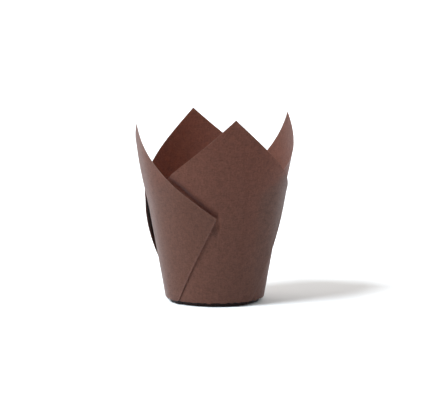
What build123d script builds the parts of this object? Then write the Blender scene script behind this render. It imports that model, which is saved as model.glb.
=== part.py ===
from build123d import *
import os
from math import atan2, comb, cos, degrees, hypot, pi, radians, sin, sqrt, tan
from typing import NamedTuple

import numpy as np

# A tulip baking cup: one square sheet of greaseproof paper pressed over a round former.
# The middle of the square is the round base and its four corners stand up as petals.
# The spare paper between two petals is laid round the wall in a Z-pleat of three layers.
# Z is the cup's axis, the origin is the middle of the underside of the base, and the
# first petal faces -Y. Azimuths are in degrees from -Y towards +X. Lengths are in mm.

# The sheet
sheet_side = 174.0
paper_thickness = 0.1
layer_pitch = 0.3

# The cup that it is pressed into
base_radius = 25.0
wall_angle = 10.2
foot_height = 2.0
foot_tuck = 1.2
flare_width = 0.8
flare_start = 47.0
flare_end = 67.0
curl_start = 70.0

# The pleats: each fold's azimuth from the middle of its petal, at the foot and at the rim,
# and where a petal steps from under the lap on its left to over the one on its right
outer_fold_rim = 74.5
inner_fold_foot = 66.0
inner_fold_rim = 74.0
step_start = -10.0
step_end = 14.0

# The number of curve points that follow each direction of a face
LAYER_DEGREE = 9
FOLD_DEGREE = 6
FOOT_DEGREE = 2
RISE_DEGREE = 9


class Petal(NamedTuple):
    """One corner of the sheet, as it stands in the finished cup."""

    azimuth: float  # of the petal's middle
    drop: float  # how much lower its tip is than a perfectly centred corner
    right_slope: float  # angle from the petal's middle line to its right edge's normal
    left_slope: float  # the same on the left
    curl: float  # how fast its top bends inwards, per mm
    fold_foot: float  # azimuth from its middle of the foot of its outer fold
    flap_bulge: float  # how far the outer fold stands off part of the way up
    corner_lift: float  # how far the flap's free corner stands off
    flap_bow: float  # how far the flap's upper edge bows out
    flatness: float  # how far its top is from round, from 0 to 1


# azimuth, drop, right slope, left slope, curl, fold foot, bulge, corner lift, bow, flatness
petals = [
    Petal(0.0, 0.8, 44.7, 44.4, 0.000, 31.0, 0.8, 0.6, 0.5, 0.26),
    Petal(98.5, 0.6, 52.6, 43.2, 0.004, 31.0, 0.7, 0.6, 0.5, 0.21),
    Petal(181.3, 0.4, 47.8, 43.1, 0.001, 42.0, 2.2, 0.3, 0.3, 0.18),
    Petal(272.8, 4.7, 50.3, 44.5, 0.002, 28.0, 0.2, 0.2, 1.4, 0.0),
]

# Makes a cubic that is 0 at the foot and the rim peak at 1, two thirds of the way up
BULGE_PEAK = 27 / 4

# Which way a face of the sheet looks on the cup: away from the axis or towards it
OUTSIDE = 1
INSIDE = -1


def blend(start, end, share):
    """The value a share of the way from start to end."""
    return start + (end - start) * share


def smooth(value, start, end):
    """0 up to start, 1 from end, and a smooth rise between them."""
    share = min(1.0, max(0.0, (value - start) / (end - start)))
    return share * share * (3 - 2 * share)


def next_petal(petal):
    """The petal on the right, whose azimuth carries on from this one's."""
    index = petals.index(petal) + 1
    if index < len(petals):
        return petals[index]
    return petals[0]._replace(azimuth=petals[0].azimuth + 360)


# The wall is a cone, and it unrolls to a fan about the cone's apex. A straight crease or
# edge on the paper is a straight line on that fan.
TILT = radians(wall_angle)
APEX_TO_FOOT = base_radius / sin(TILT)
TIP_RISE = sheet_side / sqrt(2) - base_radius


def unrolled(angle, height):
    """The place on the fan of an azimuth from the petal's middle and a height."""
    distance = APEX_TO_FOOT + height / cos(TILT)
    turn = radians(angle) * sin(TILT)
    return np.array([distance * sin(turn), distance * cos(turn)])


def rolled(place_on_fan):
    """The azimuth and height of a place on the fan."""
    distance = hypot(*place_on_fan)
    turn = atan2(*place_on_fan)
    return degrees(turn / sin(TILT)), (distance - APEX_TO_FOOT) * cos(TILT)


def edge_height(petal, angle):
    """Height of the sheet's straight edge at an azimuth from the petal's middle."""
    tip_distance = APEX_TO_FOOT + TIP_RISE - petal.drop
    slope = radians(petal.right_slope if angle > 0 else petal.left_slope)
    turn = radians(abs(angle)) * sin(TILT)
    distance = tip_distance * cos(slope) / cos(turn - slope)
    return (distance - APEX_TO_FOOT) * cos(TILT)


def pleat_height():
    """Height below which every pleat ends."""
    corners = [edge_height(petal, outer_fold_rim) for petal in petals]
    corners += [edge_height(petal, -inner_fold_rim) for petal in petals]
    return max(corners)


PLEAT_HEIGHT = pleat_height()


def wall_radius(height, curl):
    """Radius of the innermost layer's middle at a height."""
    foot_share = max(0.0, 1 - height / foot_height)
    radius = base_radius + height * tan(TILT)
    radius -= foot_tuck * foot_share**2
    radius += flare_width * smooth(height, flare_start, flare_end)
    radius -= curl * max(0.0, height - curl_start) ** 2
    return radius


def place(petal, angle, height, radius, sideways=0.0):
    """The point at an azimuth from the petal's middle, moved sideways by a length.

    The section is round up to the top of the pleats, and flatter from there to the tip.
    """
    flatness = petal.flatness * smooth(height, PLEAT_HEIGHT, TIP_RISE)
    section_radius = radius / (1 - flatness)
    turn = (radians(angle) * radius + sideways) / section_radius
    outwards = radius - section_radius * (1 - cos(turn))
    across = section_radius * sin(turn)
    azimuth = radians(petal.azimuth)
    x = outwards * sin(azimuth) + across * cos(azimuth)
    y = across * sin(azimuth) - outwards * cos(azimuth)
    return (x, y, height)


def climb(foot_angle, rim_angle, rim_height, share, side):
    """Azimuth and height on a straight line up the paper, from 0 through 1 to 2.

    The line runs up the foot as share goes from 0 to 1, and up the wall to the sheet's
    edge from 1 to 2. The outside of the sheet starts at the underside of the base, and
    its inside at the top of the base.
    """
    if share <= 1:
        start = 0.0 if side == OUTSIDE else paper_thickness
        return foot_angle, blend(start, foot_height, share)
    foot = unrolled(foot_angle, foot_height)
    rim = unrolled(rim_angle, rim_height)
    return rolled(blend(foot, rim, share - 1))


def layer_step(angle):
    """How far out the petal lies as it passes from under one lap to over the next."""
    return 2 * layer_pitch * smooth(angle, step_start, step_end)


def stand_off(petal, share):
    """How far the outer fold stands off the wall on its way up."""
    risen = max(0.0, share - 1)
    bulge = BULGE_PEAK * risen**2 * (1 - risen)
    return petal.flap_bulge * bulge + petal.corner_lift * risen**2


def left_half(petal, side):
    """The petal from its inner fold to its middle."""

    def point(across, share):
        foot_angle = -inner_fold_foot * (1 - across)
        rim_angle = -inner_fold_rim * (1 - across)
        rim_height = edge_height(petal, rim_angle)
        angle, height = climb(foot_angle, rim_angle, rim_height, share, side)
        offset = layer_step(angle) + side * paper_thickness / 2
        return place(petal, angle, height, wall_radius(height, petal.curl) + offset)

    return point


def right_half(petal, side):
    """The petal from its middle to its outer fold, which laps over the next petal."""

    def point(across, share):
        foot_angle = petal.fold_foot * across
        rim_angle = outer_fold_rim * across
        rim_height = edge_height(petal, rim_angle)
        angle, height = climb(foot_angle, rim_angle, rim_height, share, side)
        offset = layer_step(angle) + side * paper_thickness / 2
        offset += stand_off(petal, share) * across**2
        offset += petal.flap_bow * (4 * across * (1 - across)) ** 2 * smooth(share, 1, 2)
        return place(petal, angle, height, wall_radius(height, petal.curl) + offset)

    return point


def outer_fold(petal, side):
    """The half-turn at the flap's free edge, closed round the inside of the sheet."""

    def point(across, share):
        rim_height = edge_height(petal, outer_fold_rim)
        angle, height = climb(petal.fold_foot, outer_fold_rim, rim_height, share, side)
        reach = (layer_pitch + side * paper_thickness) / 2
        middle = wall_radius(height, petal.curl) + 3 / 2 * layer_pitch
        radius = middle + stand_off(petal, share) + reach * cos(pi * across)
        return place(petal, angle, height, radius, reach * sin(pi * across))

    return point


def return_layer(petal, side):
    """The middle layer of the pleat, turned back from the outer fold to the inner one."""
    other = next_petal(petal)
    span = other.azimuth - petal.azimuth

    def point(across, share):
        foot_angle = blend(petal.fold_foot, span - inner_fold_foot, across)
        outer_rim = unrolled(outer_fold_rim, edge_height(petal, outer_fold_rim))
        inner_rim = unrolled(span - inner_fold_rim, edge_height(other, -inner_fold_rim))
        rim_angle, rim_height = rolled(blend(outer_rim, inner_rim, across))
        angle, height = climb(foot_angle, rim_angle, rim_height, share, side)
        radius = wall_radius(height, blend(petal.curl, other.curl, across))
        radius += layer_pitch - side * paper_thickness / 2
        radius += stand_off(petal, share) * (1 - across) ** 2
        return place(petal, angle, height, radius)

    return point


def inner_fold(petal, side):
    """The half-turn where the return layer becomes the next petal."""
    other = next_petal(petal)

    def point(across, share):
        rim_height = edge_height(other, -inner_fold_rim)
        angle, height = climb(-inner_fold_foot, -inner_fold_rim, rim_height, share, side)
        reach = (layer_pitch - side * paper_thickness) / 2
        radius = wall_radius(height, other.curl) + layer_pitch / 2 + reach * cos(pi * across)
        return place(other, angle, height, radius, -reach * sin(pi * across))

    return point


STRETCHES = [
    (left_half, LAYER_DEGREE),
    (right_half, LAYER_DEGREE),
    (outer_fold, FOLD_DEGREE),
    (return_layer, LAYER_DEGREE),
    (inner_fold, FOLD_DEGREE),
]


def spread(degree):
    """Sample places from 0 to 1, closer together at both ends."""
    return [(1 - cos(pi * k / degree)) / 2 for k in range(degree + 1)]


def bernstein_inverse(degree):
    """Turns values at the sample places into Bezier poles."""
    rows = [
        [comb(degree, k) * t**k * (1 - t) ** (degree - k) for k in range(degree + 1)]
        for t in spread(degree)
    ]
    return np.linalg.inv(np.array(rows))


def bezier_poles(point, across_degree, share_degree, share_start):
    """Poles of the Bezier patch through point(across, share) on one strip."""
    samples = np.array(
        [
            [point(across, share_start + share) for share in spread(share_degree)]
            for across in spread(across_degree)
        ]
    )
    across_solve = bernstein_inverse(across_degree)
    share_solve = bernstein_inverse(share_degree)
    return np.einsum("ij,jkc,lk->ilc", across_solve, samples, share_solve)


def bezier_face(poles):
    """The face of a grid of poles."""
    return Face.make_bezier_surface([[Vector(*pole) for pole in row] for row in poles])


def base_face(foot_edges):
    """The flat round base, whose edge follows the foot of the wall through every pleat."""
    return Face(Wire([Edge.make_bezier(*[Vector(*pole) for pole in row]) for row in foot_edges]))


def make_liner():
    """The whole folded sheet as one closed solid."""
    faces = []
    foot_edges = {OUTSIDE: [], INSIDE: []}
    for petal in petals:
        for stretch, degree in STRETCHES:
            rims = []
            for side in (OUTSIDE, INSIDE):
                foot = bezier_poles(stretch(petal, side), degree, FOOT_DEGREE, 0)
                wall = bezier_poles(stretch(petal, side), degree, RISE_DEGREE, 1)
                faces += [bezier_face(foot), bezier_face(wall)]
                foot_edges[side].append(foot[:, 0])
                rims.append(wall[:, -1])
            faces.append(bezier_face(np.stack(rims, axis=1)))
    faces += [base_face(edges) for edges in foot_edges.values()]
    return Solid(Shell(faces))


os.makedirs("parts", exist_ok=True)
liner = make_liner()
liner.label = "tulip_liner"
export_step(liner, "parts/tulip_liner.step")
print("valid", liner.is_valid, "volume", round(liner.volume, 1), liner.bounding_box())
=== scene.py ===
from itertools import chain
from math import atan2, cos, degrees, dist, hypot, pi, radians, sin, sqrt, tan
from random import Random
from typing import NamedTuple

import bpy
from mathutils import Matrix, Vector
from mathutils.geometry import delaunay_2d_cdt


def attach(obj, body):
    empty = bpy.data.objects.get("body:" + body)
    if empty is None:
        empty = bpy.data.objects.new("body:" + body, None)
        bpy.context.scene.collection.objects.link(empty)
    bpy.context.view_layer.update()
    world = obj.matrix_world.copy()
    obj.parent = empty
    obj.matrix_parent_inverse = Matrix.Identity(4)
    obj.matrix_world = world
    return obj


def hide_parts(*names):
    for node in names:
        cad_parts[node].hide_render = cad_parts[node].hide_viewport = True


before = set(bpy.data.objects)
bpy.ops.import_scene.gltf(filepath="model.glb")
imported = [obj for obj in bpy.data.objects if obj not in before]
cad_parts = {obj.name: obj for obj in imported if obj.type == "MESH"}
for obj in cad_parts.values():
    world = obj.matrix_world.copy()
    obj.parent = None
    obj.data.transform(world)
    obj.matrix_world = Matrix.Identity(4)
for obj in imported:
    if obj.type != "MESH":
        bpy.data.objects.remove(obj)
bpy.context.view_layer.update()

# A tulip baking cup: one square sheet of dark brown greaseproof paper pressed over a round
# former. The middle of the square is the base, its four corners stand up as petals, and
# the spare paper between two petals is laid round the wall in a Z-pleat of three layers.
# The frame is the CAD part's: Z up the cup's axis, and the first petal towards -Y.
# Azimuths are in degrees from -Y towards +X. The sheet's own lengths are in millimetres,
# as in the CAD part, and its mesh is scaled to metres when it is made.
MM = 0.001

# The sheet
sheet_side = 174.0
paper_thickness = 0.1
layer_pitch = 0.3

# The cup that it is pressed into. The foot is tucked in under the wall, and comes out to it
# in a ledge over the last of the foot's height. Higher up the wall flares and then curls in.
base_radius = 25.0
wall_angle = 10.2
foot_height = 2.1
foot_tuck = 2.2
ledge_share = 0.86  # of the foot's height is below the ledge
flare_width = 0.8
flare_start = 47.0
flare_end = 67.0
curl_start = 70.0

# The pleats: each fold's azimuth from the middle of its petal, at the foot and at the rim,
# and where a petal steps from under the lap on its left to over the one on its right
outer_fold_rim = 74.5
inner_fold_foot = 66.0
inner_fold_rim = 74.0
step_start = -10.0
step_end = 14.0


class Petal(NamedTuple):
    """One corner of the sheet, as it stands in the finished cup."""

    azimuth: float  # of the petal's middle
    drop: float  # how much lower its tip is than a perfectly centred corner
    right_slope: float  # angle from the petal's middle line to its right edge's normal
    left_slope: float  # the same on the left
    curl: float  # how fast its top bends inwards, per mm
    fold_foot: float  # azimuth from its middle of the foot of its outer fold
    flap_bulge: float  # how far the outer fold stands off part of the way up
    corner_lift: float  # how far the flap's free corner stands off
    flap_bow: float  # how far the flap's upper edge bows out
    flatness: float  # how far its top is from round, from 0 to 1


# azimuth, drop, right slope, left slope, curl, fold foot, bulge, corner lift, bow, flatness
petals = [
    Petal(0.0, 0.8, 44.2, 44.4, 0.000, 31.0, 0.8, 0.6, 0.5, 0.26),
    Petal(98.5, 0.6, 53.8, 43.2, 0.004, 31.0, 0.7, 0.6, 0.5, 0.21),
    Petal(181.3, 0.4, 47.8, 43.1, 0.001, 42.0, 2.2, 0.3, 0.3, 0.18),
    Petal(272.8, 4.7, 50.3, 44.5, 0.003, 28.0, 0.2, 0.2, 1.4, 0.0),
]

# Each petal sinks in along the upper edge of the flap that laps over it on its left
groove_share = 2.3  # how deep, times how far that edge bows out
groove_rise = 3.8  # how far above the edge it is gone
groove_run = 8.0  # how far below the edge it is gone, under the flap
groove_margin = 9.0  # how far from the petal's own edge it is at its full depth
groove_end = 0.3  # the share of its depth that is left at the petal's own edge
groove_overrun = 4.0  # degrees past the flap's free edge at which it is gone

# The paper's unevenness: slow waves round the wall, crinkles where the foot turns in, a
# crease round the foot that wanders up and down, and a base that isn't quite flat
wave_depth = 0.16
wave_orders = [3, 5, 8, 13]
wave_sway = 0.2  # how far round the cup the waves sway as they rise, in radians
wave_sway_rate = 0.012  # how fast they sway, in radians per mm
wave_full_height = 30.0
crinkle_depth = 0.16
crinkle_height = 5.0
crinkle_orders = [17, 23, 31, 41, 53]
crease_wander = 0.24
crease_height = 9.0
base_dish = 0.25  # the base rises by a little over half of this

# The paper curls outwards by a hair near its cut. Its start and end are places on a line
# up the sheet, where 1 is the foot's crease and 2 the cut, so it doesn't level off.
edge_lip = 0.12
edge_lip_start = 1.982
edge_lip_end = 2.2

# The paper's grain: how many clouds, mottles and fibres to a millimetre, and how much of
# the grain each makes up. Fibres are long and thin, and lie both ways along the sheet.
cloud_fineness = 0.35
cloud_weight = 0.22
mottle_fineness = 1.1
mottle_weight = 0.42
fibre_fineness = (0.25, 1.6)
fibre_weight = 0.18

# The flecks over the grain: how many to a millimetre, and how much they show
fleck_fineness = 0.7
fleck_weight = 0.2

# The ranges of the noise over which the paper turns pale, has a fleck and turns smooth
shade_range = (0.37, 0.63)
fleck_range = (0.64, 0.74)
smooth_range = (0.35, 0.65)

# The paper's colours and surface
paper_dark = (0.0625, 0.0222, 0.0128, 1)
paper_light = (0.0925, 0.0390, 0.0270, 1)
# Near black painted shade on the outside of the foot under its crease, where the tucked-in paper
# lies in shadow
foot_painted_shade_colour = (0.014, 0.003, 0.002, 1)
fleck_colour = (0.045, 0.018, 0.013, 1)
worn_colour = (0.19, 0.10, 0.075, 1)
# The cut edge is paler: partly the raw edge's own colour, partly a painted highlight where the
# edge catches the light
cut_edge_and_highlight_colour = (0.22, 0.125, 0.095, 1)
through_thick = (0.46, 0.130, 0.018, 1)
through_thin = (0.90, 0.300, 0.070, 1)
light_through = 0.21
edge_line = 0.15  # the cut edge is paler, partly as a painted highlight, for this far in
edge_width = 0.5  # and as dark as the rest from this far in
edge_fading = 0.25
fold_width = 0.9  # a fold is worn paler as far as this from it
fold_wear = 0.45  # and by this share, times the grain, along it
foot_painted_shade_start = 0.95  # the share of the foot's height below which the painted shade is at its darkest
rough_thick = 0.66
rough_thin = 0.52
paper_shine = 0.2
sheen = 0.12
sheen_roughness = 0.45
bump_strength = 0.5
bump_height = 0.12 * MM
fleck_bump = -0.15

# How finely the sheet is divided, with some more rows beside the foot's crease and the cut
HALF_STEPS = 48
RETURN_STEPS = 14
FOLD_STEPS = 6
FOOT_STEPS = 3
LEDGE_STEPS = 6
WALL_STEPS = 74
CREASE_ROWS = [1.003, 1.01]
CUT_ROWS = [1.99, 1.994, 1.997]
BASE_RINGS = 14
BASE_RING_STEPS = 90
BASE_MARGIN = 0.04  # the share of the base between its outline and its outermost ring
KEEP_INSIDE = 1  # tells delaunay_2d_cdt to give only the triangles inside the outline
TOLERANCE = 1e-6
SHARP_ANGLE = radians(40)

# The camera and the light, in metres and degrees
camera_distance = 1.0
camera_azimuth = -14.1
camera_elevation = 6.87
camera_aim = Vector((0.00015, -0.0001, 0.0507))
camera_lens = 163.2
camera_sensor = 36.0
camera_reach = 100.0
key_azimuth = -73.0
key_elevation = 46.5
key_spread = 28.0
key_strength = 6.9
key_colour = (0.86, 0.94, 1.0)
fill_azimuth = -10.0
fill_elevation = 14.0
fill_distance = 0.8
fill_aim = Vector((0.0, 0.0, -0.02))
fill_width = 9.5
fill_softness = 0.1
fill_power = 36.0
fill_colour = (0.72, 0.89, 1.0)

# The white surroundings are dark about one direction, on the side that the camera is on.
# They start to darken at one cosine of the angle from it, and are black from another.
sky_colour = (1.0, 0.97, 0.945, 1)
sky_strength = 1.78
dark_side_azimuth = -14.0
dark_side_elevation = 25.0
dark_start = 0.05
dark_end = 0.7

# The floor, in metres, which lies a hair below the cup
floor_reach = 12.0
floor_drop = 0.0001
floor_colour = (0.68, 0.68, 0.68, 1)
floor_roughness = 0.9
floor_shine = 0.1

# The sheet's two faces, and where a line up the sheet has its foot's crease and its end
OUTSIDE = 1
INSIDE = -1
AT_CREASE = 1
AT_CUT = 2

chance = Random(11)
wave_phases = [chance.uniform(0, 2 * pi) for _ in wave_orders]
crinkle_phases = [chance.uniform(0, 2 * pi) for _ in crinkle_orders]
crease_phases = [chance.uniform(0, 2 * pi) for _ in crinkle_orders]


def direction(azimuth, elevation):
    """Unit vector towards an azimuth and elevation in degrees."""
    turn, rise = radians(azimuth), radians(elevation)
    return Vector((sin(turn) * cos(rise), -cos(turn) * cos(rise), sin(rise)))


def blend(start, end, share):
    """The value a share of the way from start to end."""
    return start + (end - start) * share


def blend_points(start, end, share):
    """The point a share of the way from start to end."""
    return tuple(blend(a, b, share) for a, b in zip(start, end))


def smooth(value, start, end):
    """0 up to start, 1 from end, and a smooth rise between them."""
    share = min(1.0, max(0.0, (value - start) / (end - start)))
    return share * share * (3 - 2 * share)


def next_petal(petal):
    """The petal on the right, whose azimuth carries on from this one's."""
    index = petals.index(petal) + 1
    if index < len(petals):
        return petals[index]
    return petals[0]._replace(azimuth=petals[0].azimuth + 360)


def last_petal(petal):
    """The petal on the left, whose azimuth this one's carries on from."""
    index = petals.index(petal) - 1
    if index >= 0:
        return petals[index]
    return petals[-1]._replace(azimuth=petals[-1].azimuth - 360)


# The wall is a cone, and it unrolls to a fan about the cone's apex
TILT = radians(wall_angle)
APEX_TO_FOOT = base_radius / sin(TILT)
SHEET_CORNER = sheet_side / sqrt(2)  # how far a corner of the sheet is from its middle
TIP_RISE = SHEET_CORNER - base_radius
EDGE_SLOPE = radians(45)
BULGE_PEAK = 27 / 4  # makes a cubic that is 0 at the foot and the rim peak at 1


def unrolled(angle, height):
    """The place on the fan of an azimuth from the petal's middle and a height."""
    distance = APEX_TO_FOOT + height / cos(TILT)
    turn = radians(angle) * sin(TILT)
    return distance * sin(turn), distance * cos(turn)


def rolled(place_on_fan):
    """The azimuth and height of a place on the fan."""
    distance = hypot(*place_on_fan)
    turn = atan2(*place_on_fan)
    return degrees(turn / sin(TILT)), (distance - APEX_TO_FOOT) * cos(TILT)


def edge_height(petal, angle):
    """Height of the sheet's straight edge at an azimuth from the petal's middle."""
    tip_distance = APEX_TO_FOOT + TIP_RISE - petal.drop
    slope = radians(petal.right_slope if angle > 0 else petal.left_slope)
    turn = radians(abs(angle)) * sin(TILT)
    distance = tip_distance * cos(slope) / cos(turn - slope)
    return (distance - APEX_TO_FOOT) * cos(TILT)


def pleat_height():
    """Height below which every pleat ends."""
    corners = [edge_height(petal, outer_fold_rim) for petal in petals]
    corners += [edge_height(petal, -inner_fold_rim) for petal in petals]
    return max(corners)


PLEAT_HEIGHT = pleat_height()


def wall_radius(height, curl):
    """Radius of the innermost layer's middle at a height."""
    radius = base_radius + height * tan(TILT)
    radius -= foot_tuck * (1 - smooth(height / foot_height, ledge_share, 1))
    radius += flare_width * smooth(height, flare_start, flare_end)
    radius -= curl * max(0.0, height - curl_start) ** 2
    return radius


def ripple(azimuth, orders, phases):
    """A sum of waves round the cup, from about -1 to 1."""
    total = sum(sin(order * azimuth + phase) for order, phase in zip(orders, phases))
    return total / sqrt(2 * len(orders))


def unevenness(azimuth, height):
    """How far the paper stands out of its even shape, the same for all layers at a place."""
    sway = wave_sway * sin(wave_sway_rate * height)
    waves = ripple(azimuth + sway, wave_orders, wave_phases)
    crinkles = ripple(azimuth, crinkle_orders, crinkle_phases)
    rise = smooth(height, 0, wave_full_height)
    fade = max(0.0, 1 - height / crinkle_height) ** 2
    return wave_depth * waves * rise + crinkle_depth * crinkles * fade


def crease_rise(azimuth, height):
    """How far the crease round the foot wanders up or down."""
    fade = smooth(height, 0, foot_height) * (1 - smooth(height, foot_height, crease_height))
    return crease_wander * ripple(azimuth, crinkle_orders, crease_phases) * fade


def place(petal, angle, height, radius, sideways=0.0):
    """The point at an azimuth from the petal's middle, moved sideways by a length.

    The section is round up to the top of the pleats, and flatter from there to the tip.
    """
    radius += unevenness(radians(petal.azimuth + angle), height)
    flatness = petal.flatness * smooth(height, PLEAT_HEIGHT, TIP_RISE)
    section_radius = radius / (1 - flatness)
    turn = (radians(angle) * radius + sideways) / section_radius
    outwards = radius - section_radius * (1 - cos(turn))
    across = section_radius * sin(turn)
    azimuth = radians(petal.azimuth)
    x = outwards * sin(azimuth) + across * cos(azimuth)
    y = across * sin(azimuth) - outwards * cos(azimuth)
    return x, y, height + crease_rise(atan2(x, -y), height)


def climb(foot_angle, rim_angle, rim_height, share, side):
    """Azimuth and height on a straight line up the paper, from 0 through 1 to 2.

    The line runs up the foot as share goes from 0 to 1, and up the wall to the sheet's
    cut edge from 1 to 2.
    """
    if share <= AT_CREASE:
        start = 0.0 if side == OUTSIDE else paper_thickness
        return foot_angle, blend(start, foot_height, share)
    foot = unrolled(foot_angle, foot_height)
    rim = unrolled(rim_angle, rim_height)
    return rolled(blend_points(foot, rim, share - AT_CREASE))


def layer_step(angle):
    """How far out the petal lies as it passes from under one lap to over the next."""
    return 2 * layer_pitch * smooth(angle, step_start, step_end)


def stand_off(petal, share):
    """How far the outer fold stands off the wall on its way up."""
    risen = max(0.0, share - AT_CREASE)
    bulge = BULGE_PEAK * risen**2 * (1 - risen)
    return petal.flap_bulge * bulge + petal.corner_lift * risen**2


def lip(share):
    """How far the paper curls out near its cut edge."""
    full = smooth(AT_CUT, edge_lip_start, edge_lip_end)
    return edge_lip * smooth(share, edge_lip_start, edge_lip_end) / full


def groove(petal, angle, height):
    """How far the petal sinks in beside the upper edge of the flap on its left."""
    lap = last_petal(petal)
    angle_on_lap = angle + petal.azimuth - lap.azimuth
    lap_height = edge_height(lap, min(angle_on_lap, outer_fold_rim))
    above = (height - lap_height) * cos(EDGE_SLOPE)
    fade = smooth(above, -groove_run, 0) * min(1.0, max(0.0, 1 - above / groove_rise)) ** 2
    inwards = (edge_height(petal, angle) - height) * cos(EDGE_SLOPE)
    fade *= blend(groove_end, 1, smooth(inwards, 0, groove_margin))
    past = max(0.0, angle_on_lap - outer_fold_rim)
    return groove_share * lap.flap_bow * fade * (1 - smooth(past, 0, groove_overrun))


def left_half(petal, side, across, share):
    """The petal from its inner fold to its middle."""
    foot_angle = -inner_fold_foot * (1 - across)
    rim_angle = -inner_fold_rim * (1 - across)
    rim_height = edge_height(petal, rim_angle)
    angle, height = climb(foot_angle, rim_angle, rim_height, share, side)
    offset = layer_step(angle) + side * paper_thickness / 2 + lip(share)
    offset -= groove(petal, angle, height)
    return place(petal, angle, height, wall_radius(height, petal.curl) + offset)


def right_half(petal, side, across, share):
    """The petal from its middle to its outer fold, which laps over the next petal."""
    foot_angle = petal.fold_foot * across
    rim_angle = outer_fold_rim * across
    rim_height = edge_height(petal, rim_angle)
    angle, height = climb(foot_angle, rim_angle, rim_height, share, side)
    offset = layer_step(angle) + side * paper_thickness / 2 + lip(share)
    offset += stand_off(petal, share) * across**2
    bow = (4 * across * (1 - across)) ** 2
    offset += petal.flap_bow * bow * smooth(share, AT_CREASE, AT_CUT)
    return place(petal, angle, height, wall_radius(height, petal.curl) + offset)


def outer_fold(petal, side, across, share):
    """The half-turn at the flap's free edge, closed round the inside of the sheet."""
    rim_height = edge_height(petal, outer_fold_rim)
    angle, height = climb(petal.fold_foot, outer_fold_rim, rim_height, share, side)
    reach = (layer_pitch + side * paper_thickness) / 2
    middle = wall_radius(height, petal.curl) + 3 / 2 * layer_pitch
    radius = middle + stand_off(petal, share) + lip(share) + reach * cos(pi * across)
    return place(petal, angle, height, radius, reach * sin(pi * across))


def return_layer(petal, side, across, share):
    """The middle layer of the pleat, turned back from the outer fold to the inner one."""
    other = next_petal(petal)
    span = other.azimuth - petal.azimuth
    foot_angle = blend(petal.fold_foot, span - inner_fold_foot, across)
    outer_rim = unrolled(outer_fold_rim, edge_height(petal, outer_fold_rim))
    inner_rim = unrolled(span - inner_fold_rim, edge_height(other, -inner_fold_rim))
    rim_angle, rim_height = rolled(blend_points(outer_rim, inner_rim, across))
    angle, height = climb(foot_angle, rim_angle, rim_height, share, side)
    radius = wall_radius(height, blend(petal.curl, other.curl, across))
    radius += layer_pitch - side * paper_thickness / 2 + lip(share)
    radius += stand_off(petal, share) * (1 - across) ** 2
    return place(petal, angle, height, radius)


def inner_fold(petal, side, across, share):
    """The half-turn where the return layer becomes the next petal."""
    other = next_petal(petal)
    rim_height = edge_height(other, -inner_fold_rim)
    angle, height = climb(-inner_fold_foot, -inner_fold_rim, rim_height, share, side)
    reach = (layer_pitch - side * paper_thickness) / 2
    middle = wall_radius(height, other.curl) + layer_pitch / 2 + lip(share)
    radius = middle + reach * cos(pi * across)
    return place(other, angle, height, radius, -reach * sin(pi * across))


STRETCHES = [
    (left_half, HALF_STEPS),
    (right_half, HALF_STEPS),
    (outer_fold, FOLD_STEPS),
    (return_layer, RETURN_STEPS),
    (inner_fold, FOLD_STEPS),
]


def sheet_columns():
    """The lines up the sheet from the foot to its edge, in order round the cup."""
    return [
        (petal, stretch, step / steps)
        for petal in petals
        for stretch, steps in STRETCHES
        for step in range(steps)
    ]


def sheet_shares():
    """The places of the rows up each line, close together at the ledge, crease and cut."""
    foot = [ledge_share * step / FOOT_STEPS for step in range(FOOT_STEPS)]
    ledge = [blend(ledge_share, AT_CREASE, step / LEDGE_STEPS) for step in range(LEDGE_STEPS)]
    wall = [AT_CREASE + step / WALL_STEPS for step in range(1, WALL_STEPS)]
    return [*foot, *ledge, AT_CREASE, *CREASE_ROWS, *wall, *CUT_ROWS, AT_CUT]


def base_points(outline):
    """Points in rings that fill the base inside its outline."""
    reach = min(hypot(x, y) for x, y, _ in outline)
    points = []
    for ring in range(BASE_RINGS):
        radius = reach * (1 - BASE_MARGIN) * ring / (BASE_RINGS - 1)
        steps = max(1, round(BASE_RING_STEPS * ring / (BASE_RINGS - 1)))
        for step in range(steps):
            turn = 2 * pi * step / steps
            points.append((radius * cos(turn), radius * sin(turn)))
    return points


def base_height(x, y, side):
    """Height of the base, which rises by a hair between its middle and its edge."""
    share = hypot(x, y) / base_radius
    rise = base_dish * (1 - share**2) ** 2 * (2 * share) ** 2
    return rise + (paper_thickness if side == INSIDE else 0.0)


def fill_base(vertices, faces, rim_indices, side):
    """Adds one face of the base, whose edge is the foot of the wall."""
    outline = [vertices[i] for i in rim_indices]
    inner = base_points(outline)
    flat = [Vector((x, y)) for x, y, _ in outline] + [Vector(point) for point in inner]
    loop = list(range(len(outline)))
    edges = [(i, (i + 1) % len(loop)) for i in loop]
    _, _, triangles, _, _, _ = delaunay_2d_cdt(flat, edges, [loop], KEEP_INSIDE, TOLERANCE)
    start = len(vertices)
    vertices += [(x, y, base_height(x, y, side)) for x, y in inner]
    index = list(rim_indices) + list(range(start, len(vertices)))
    for triangle in triangles:
        corners = [index[i] for i in triangle]
        faces.append(corners[::-1] if side == OUTSIDE else corners)


def lengths_along(points):
    """How far along a line of points each one is, as a share of the whole."""
    sums = [0.0]
    for a, b in zip(points, points[1:]):
        sums.append(sums[-1] + dist(a, b))
    return [value / sums[-1] for value in sums]


def cut_edge_places(columns, rims):
    """Where the top of each line lies on the edge of the flat sheet."""
    count = len(columns)
    tips = [columns.index((petal, right_half, 0)) for petal in petals]
    corners = [(0, -SHEET_CORNER), (SHEET_CORNER, 0), (0, SHEET_CORNER), (-SHEET_CORNER, 0)]
    tips.append(tips[0] + count)
    corners.append(corners[0])
    places = [None] * count
    for k in range(len(petals)):
        run = [i % count for i in range(tips[k], tips[k + 1] + 1)]
        for i, share in zip(run, lengths_along([rims[i] for i in run])):
            places[i] = blend_points(corners[k], corners[k + 1], share)
    return places


def flat_places(columns, lines):
    """Where every point of the wall lies on the flat sheet, line by line."""
    edge_places = cut_edge_places(columns, [line[-1] for line in lines])
    return [
        [blend_points(line[0], edge_place, share) for share in lengths_along(line)]
        for line, edge_place in zip(lines, edge_places)
    ]


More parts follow.
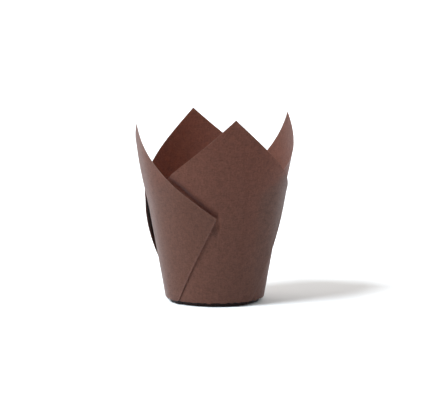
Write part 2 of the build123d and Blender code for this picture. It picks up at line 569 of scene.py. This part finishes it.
def nearest_folds(folds, column, count):
    """The two fold lines that are the fewest lines away round the cup."""
    return sorted(folds, key=lambda fold: min(abs(fold - column), count - abs(fold - column)))[:2]


def fold_distances(columns, flat):
    """How far every point of the wall is from the nearest fold, on the flat sheet."""
    both_kinds = (outer_fold, inner_fold)
    folds = [i for i, (_, stretch, _) in enumerate(columns) if stretch in both_kinds]
    distances = []
    for column, line in enumerate(flat):
        near = [flat[fold] for fold in nearest_folds(folds, column, len(flat))]
        for row, place_on_sheet in enumerate(line):
            distances.append(min(dist(place_on_sheet, fold[row]) for fold in near))
    return distances


def add_attribute(mesh, name, kind, values):
    """Gives every point of the mesh a value that its material reads."""
    attribute = mesh.attributes.new(name, kind, "POINT")
    field = "vector" if kind == "FLOAT_VECTOR" else "value"
    attribute.data.foreach_set(field, values)


def wall_lines(columns, shares, side):
    """The points of one face of the wall, line by line."""
    return [
        [stretch(petal, side, across, share) for share in shares]
        for petal, stretch, across in columns
    ]


def wall_faces(count, rows):
    """The squares of both faces of the wall, and of the cut edge between them."""
    shift = count * rows
    top = rows - 1
    faces = []
    for column in range(count):
        here = column * rows
        there = (column + 1) % count * rows
        for row in range(top):
            outside = [here + row, there + row, there + row + 1, here + row + 1]
            faces.append(outside)
            faces.append([index + shift for index in reversed(outside)])
        faces.append([here + top, there + top, there + top + shift, here + top + shift])
    return faces


def foot_painted_shade_shares(shares, side):
    """How much painted shade a line gets: only the outside of the foot, below its crease, where
    it lies in shadow.
    """
    if side == INSIDE:
        return [0.0] * len(shares)
    return [1 - smooth(share, foot_painted_shade_start, AT_CREASE) for share in shares]


def mark_paper(mesh, flat, folds, foot_painted_shade):
    """Gives the mesh what its material reads, with places and distances on the flat sheet."""
    edges = [(SHEET_CORNER - abs(x) - abs(y)) / sqrt(2) for x, y in flat]
    add_attribute(mesh, "sheet_place", "FLOAT_VECTOR", [v for x, y in flat for v in (x, y, 0)])
    add_attribute(mesh, "edge_distance", "FLOAT", edges)
    add_attribute(mesh, "fold_distance", "FLOAT", folds)
    # how much painted shade each point of the foot gets
    add_attribute(mesh, "foot_painted_shade", "FLOAT", foot_painted_shade)


def make_sheet():
    """The mesh of the whole folded sheet, closed round its cut edge."""
    columns = sheet_columns()
    shares = sheet_shares()
    vertices, flat, folds, foot_painted_shade = [], [], [], []
    for side in (OUTSIDE, INSIDE):
        lines = wall_lines(columns, shares, side)
        places = flat_places(columns, lines)
        vertices += chain.from_iterable(lines)
        flat += chain.from_iterable(places)
        folds += fold_distances(columns, places)
        foot_painted_shade += foot_painted_shade_shares(shares, side) * len(columns)
    faces = wall_faces(len(columns), len(shares))
    for side, first in ((OUTSIDE, 0), (INSIDE, len(vertices) // 2)):
        foot = [first + column * len(shares) for column in range(len(columns))]
        fill_base(vertices, faces, foot, side)
    in_base = vertices[len(flat):]
    flat += [(x, y) for x, y, _ in in_base]
    folds += [base_radius] * len(in_base)
    foot_painted_shade += [0.0] * len(in_base)
    mesh = bpy.data.meshes.new("tulip_liner_paper")
    mesh.from_pydata([[value * MM for value in vertex] for vertex in vertices], [], faces)
    mark_paper(mesh, flat, folds, foot_painted_shade)
    mesh.polygons.foreach_set("use_smooth", [True] * len(mesh.polygons))
    mesh.set_sharp_from_angle(angle=SHARP_ANGLE)
    mesh.update()
    return mesh


def make_liner():
    """The folded sheet as a piece that stands for the CAD one."""
    liner = bpy.data.objects.new("tulip_liner_paper", make_sheet())
    bpy.context.scene.collection.objects.link(liner)
    liner.data.materials.append(brown_paper())
    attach(liner, "root")
    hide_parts("tulip_liner")


class Nodes:
    """A material's nodes, made and joined by short calls."""

    def __init__(self, name):
        self.material = bpy.data.materials.new(name)
        self.material.use_nodes = True
        self.tree = self.material.node_tree
        self.shader = self.tree.nodes["Principled BSDF"]

    def add(self, kind, **sockets):
        """A new node with the named sockets joined to an output or set to a value."""
        node = self.tree.nodes.new("ShaderNode" + kind)
        for name, value in sockets.items():
            self.feed(node.inputs[name.replace("_", " ")], value)
        return node

    def feed(self, socket, value):
        """Joins a socket to an output, or sets it to a value."""
        if isinstance(value, bpy.types.NodeSocket):
            self.tree.links.new(value, socket)
        else:
            socket.default_value = value

    def attribute(self, name, output="Fac"):
        """A value that the mesh gives for each of its points."""
        node = self.add("Attribute")
        node.attribute_name = name
        return node.outputs[output]

    def noise(self, where, fineness, detail=3.0, roughness=0.55):
        """Noise from 0 to 1, with so many features to a mm in the sheet's two directions."""
        scaled = self.add("Mapping", Vector=where, Scale=(*fineness, 1)).outputs[0]
        node = self.add("TexNoise", Vector=scaled, Scale=1.0, Detail=detail, Roughness=roughness)
        return node.outputs["Fac"]

    def ramp(self, value, start, end, low=0.0, high=1.0):
        """The value taken from the range start to end to the range low to high."""
        node = self.add("MapRange", Value=value, From_Min=start, From_Max=end)
        self.feed(node.inputs["To Min"], low)
        self.feed(node.inputs["To Max"], high)
        return node.outputs[0]

    def sum_of(self, parts):
        """The sum of several values, each times its weight."""
        total = 0.0
        for value, weight in parts:
            node = self.add("Math")
            node.operation = "MULTIPLY_ADD"
            for socket, given in zip(node.inputs, (value, weight, total)):
                self.feed(socket, given)
            total = node.outputs[0]
        return total

    def mix(self, share, first, second):
        """A colour the given share of the way from the first to the second."""
        node = self.add("Mix")
        node.data_type = "RGBA"
        colours = [socket for socket in node.inputs if socket.type == "RGBA"]
        self.feed(node.inputs["Factor"], share)
        self.feed(colours[0], first)
        self.feed(colours[1], second)
        return [socket for socket in node.outputs if socket.type == "RGBA"][0]


def paper_grain(nodes, flat):
    """The mottling of the pulp, from 0 in the thick places to 1 in the thin ones."""
    cloud = nodes.noise(flat, (cloud_fineness, cloud_fineness), detail=2.0)
    mottle = nodes.noise(flat, (mottle_fineness, mottle_fineness), roughness=0.65)
    along, across = fibre_fineness
    fibres = nodes.noise(flat, (across, along))
    crossing = nodes.noise(flat, (along, across))
    return nodes.sum_of([
        (cloud, cloud_weight),
        (mottle, mottle_weight),
        (fibres, fibre_weight),
        (crossing, fibre_weight),
    ])


def surface_colour(nodes, grain, shade, flecks):
    """The paper's colour, paler at its folds, paler at its cut edge partly as a painted
    highlight, and with a near black painted shade on the foot under its crease.
    """
    edge = nodes.ramp(nodes.attribute("edge_distance"), edge_line, edge_width, edge_fading, 0.0)
    fold = nodes.ramp(nodes.attribute("fold_distance"), 0.0, fold_width, fold_wear, 0.0)
    colour = nodes.mix(shade, paper_dark, paper_light)
    colour = nodes.mix(nodes.sum_of([(flecks, fleck_weight)]), colour, fleck_colour)
    colour = nodes.mix(nodes.sum_of([(fold, grain)]), colour, worn_colour)
    # Paler cut edge, partly the raw edge's colour and partly a painted highlight
    colour = nodes.mix(edge, colour, cut_edge_and_highlight_colour)
    # Painted shade: the outside of the foot below its crease turns near black
    return nodes.mix(nodes.attribute("foot_painted_shade"), colour, foot_painted_shade_colour)


def brown_paper():
    """Dark brown greaseproof paper: mottled pulp, dark flecks, worn folds, a paler cut edge that
    is partly a painted highlight, and a painted shade on the foot.
    """
    nodes = Nodes("brown_paper")
    flat = nodes.attribute("sheet_place", "Vector")
    grain = paper_grain(nodes, flat)
    shade = nodes.ramp(grain, *shade_range)
    specks = nodes.noise(flat, (fleck_fineness, fleck_fineness), detail=1.0)
    flecks = nodes.ramp(specks, *fleck_range)
    shader = nodes.shader
    nodes.feed(shader.inputs["Base Color"], surface_colour(nodes, grain, shade, flecks))
    roughness = nodes.ramp(grain, *smooth_range, rough_thick, rough_thin)
    nodes.feed(shader.inputs["Roughness"], roughness)
    shader.inputs["Specular IOR Level"].default_value = paper_shine
    shader.inputs["Sheen Weight"].default_value = sheen
    shader.inputs["Sheen Roughness"].default_value = sheen_roughness
    height = nodes.sum_of([(grain, 1.0), (flecks, fleck_bump)])
    bump = nodes.add("Bump", Height=height, Strength=bump_strength, Distance=bump_height)
    nodes.feed(shader.inputs["Normal"], bump.outputs[0])
    seen_through = nodes.mix(shade, through_thick, through_thin)
    # The light through the paper gets the same painted shade on the foot
    seen_through = nodes.mix(nodes.attribute("foot_painted_shade"), seen_through, foot_painted_shade_colour)
    through = nodes.add("BsdfTranslucent", Color=seen_through, Normal=bump.outputs[0])
    both = nodes.add("MixShader", Fac=light_through)
    nodes.feed(both.inputs[1], shader.outputs[0])
    nodes.feed(both.inputs[2], through.outputs[0])
    nodes.feed(nodes.tree.nodes["Material Output"].inputs["Surface"], both.outputs[0])
    return nodes.material


def make_floor():
    """A plain white floor."""
    mesh = bpy.data.meshes.new("floor")
    signs = [(-1, -1), (1, -1), (1, 1), (-1, 1)]
    corners = [(x * floor_reach, y * floor_reach, -floor_drop) for x, y in signs]
    mesh.from_pydata(corners, [], [[0, 1, 2, 3]])
    floor = bpy.data.objects.new("floor", mesh)
    bpy.context.scene.collection.objects.link(floor)
    material = bpy.data.materials.new("floor_white")
    material.use_nodes = True
    shader = material.node_tree.nodes["Principled BSDF"]
    shader.inputs["Base Color"].default_value = floor_colour
    shader.inputs["Roughness"].default_value = floor_roughness
    shader.inputs["Specular IOR Level"].default_value = floor_shine
    mesh.materials.append(material)


def make_camera():
    """The camera at the photograph's viewing angle."""
    data = bpy.data.cameras.new("camera")
    data.lens = camera_lens
    data.sensor_width = camera_sensor
    data.clip_end = camera_reach
    camera = bpy.data.objects.new("camera", data)
    bpy.context.scene.collection.objects.link(camera)
    towards = direction(camera_azimuth, camera_elevation)
    camera.location = camera_aim + towards * camera_distance
    camera.rotation_euler = towards.to_track_quat("Z", "Y").to_euler()
    bpy.context.scene.camera = camera


def make_key_light():
    """A soft sun, high on the left and a little to the front."""
    data = bpy.data.lights.new("key", "SUN")
    data.energy = key_strength
    data.angle = radians(key_spread)
    data.color = key_colour
    key = bpy.data.objects.new("key", data)
    bpy.context.scene.collection.objects.link(key)
    towards = direction(key_azimuth, key_elevation)
    key.rotation_euler = towards.to_track_quat("Z", "Y").to_euler()


def make_fill_light():
    """A soft light from the front on the foot of the cup and the floor round it."""
    data = bpy.data.lights.new("fill", "SPOT")
    data.energy = fill_power
    data.color = fill_colour
    data.spot_size = radians(fill_width)
    data.spot_blend = 1.0
    data.shadow_soft_size = fill_softness
    fill = bpy.data.objects.new("fill", data)
    bpy.context.scene.collection.objects.link(fill)
    fill.location = direction(fill_azimuth, fill_elevation) * fill_distance
    fill.rotation_euler = (fill.location - fill_aim).to_track_quat("Z", "Y").to_euler()


def make_surroundings():
    """White surroundings that are dark on one side and light the cup from the rest."""
    world = bpy.data.worlds.new("studio")
    bpy.context.scene.world = world
    world.use_nodes = True
    nodes, links = world.node_tree.nodes, world.node_tree.links
    coordinates = nodes.new("ShaderNodeTexCoord")
    towards = nodes.new("ShaderNodeVectorMath")
    towards.operation = "DOT_PRODUCT"
    towards.inputs[1].default_value = direction(dark_side_azimuth, dark_side_elevation)
    strength = nodes.new("ShaderNodeMapRange")
    strength.inputs["From Min"].default_value = dark_start
    strength.inputs["From Max"].default_value = dark_end
    strength.inputs["To Min"].default_value = sky_strength
    strength.inputs["To Max"].default_value = 0.0
    strength.interpolation_type = "SMOOTHSTEP"
    background = nodes["Background"]
    background.inputs["Color"].default_value = sky_colour
    links.new(coordinates.outputs["Generated"], towards.inputs[0])
    links.new(towards.outputs["Value"], strength.inputs["Value"])
    links.new(strength.outputs["Result"], background.inputs["Strength"])


make_camera()
bpy.context.scene.view_settings.view_transform = "Standard"
make_surroundings()
make_key_light()
make_fill_light()
make_floor()
make_liner()
